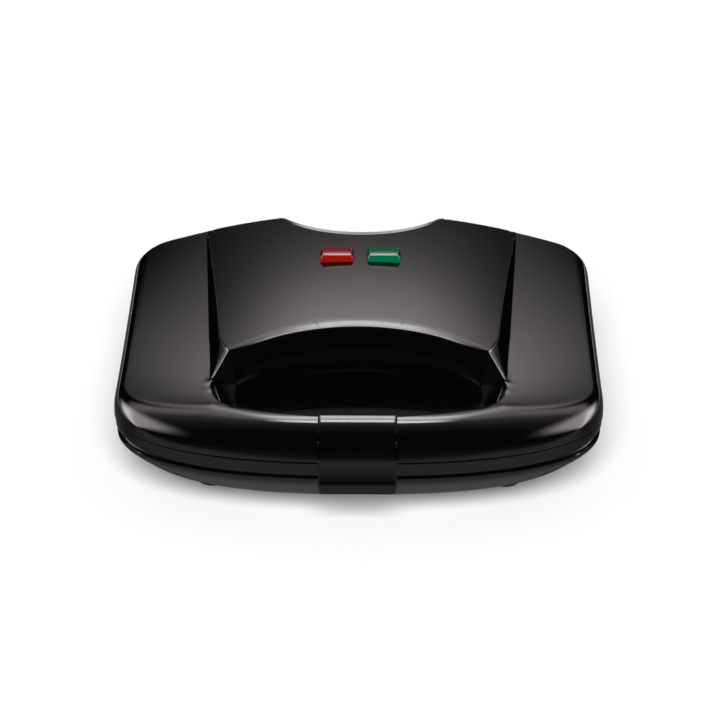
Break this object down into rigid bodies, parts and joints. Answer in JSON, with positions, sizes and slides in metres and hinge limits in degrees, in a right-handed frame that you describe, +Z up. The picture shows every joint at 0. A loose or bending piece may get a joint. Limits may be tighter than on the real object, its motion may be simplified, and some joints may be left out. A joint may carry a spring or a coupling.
{
  "type": "sandwich toaster",
  "caption": "Clamshell sandwich toaster with pocketed non-stick plates, a domed lid, a through hand grip at the front, a pivoting latch and two pilot lamps.",
  "frame": {"origin": "on the table, under the middle of the part's width and depth", "axes": "+X to the part's left-hand side seen from the rear (right in a front view), -Y the front with the hand grip and latch, +Z up"},
  "size_m": [0.245, 0.222, 0.0898],
  "materials": {
    "gloss_black": "polished black phenolic plastic",
    "frame_black": "fine satin",
    "rubber": "matte",
    "non_stick": "non-stick coated die casting",
    "steel": "plain steel",
    "bright_steel": "bright rolled sheet",
    "ceramic": "off-white ceramic",
    "lens_red": "clear-tinted moulding",
    "lens_green": "clear-tinted moulding",
    "lamp_glass": "clear"
  },
  "bodies": {
    "base": {"base_housing": "gloss_black", "base_frame": "frame_black", "lower_plate": "non_stick", "lower_element": "steel", "lower_reflector": "bright_steel", "thermal_fuse": "ceramic", "terminal_block": "ceramic", "cord_gland": "rubber", "cable_clamp": "frame_black", "feet": "rubber", "base_screws": "steel", "lower_plate_screws": "steel", "hinge_pins": "steel"},
    "lid": {"lid_cover": "gloss_black", "lid_frame": "frame_black", "upper_plate": "non_stick", "upper_element": "steel", "upper_reflector": "bright_steel", "thermostat": "ceramic", "red_lens": "lens_red", "green_lens": "lens_green", "pilot_lamps": "lamp_glass", "lamp_bracket": "frame_black", "lid_screws": "steel", "upper_plate_screws": "steel", "latch_pin": "steel"},
    "latch": {"latch": "gloss_black"}
  },
  "joints": [
    {"name": "lid_hinge", "type": "hinge", "parent": "base", "child": "lid", "pos_m": [0, 0.105, 0.044], "axis": [-1, 0, 0], "range_deg": [0, 100]},
    {"name": "latch_pivot", "type": "hinge", "parent": "lid", "child": "latch", "pos_m": [0, -0.0995, 0.0455], "axis": [-1, 0, 0], "range_deg": [-6, 35]}
  ]
}
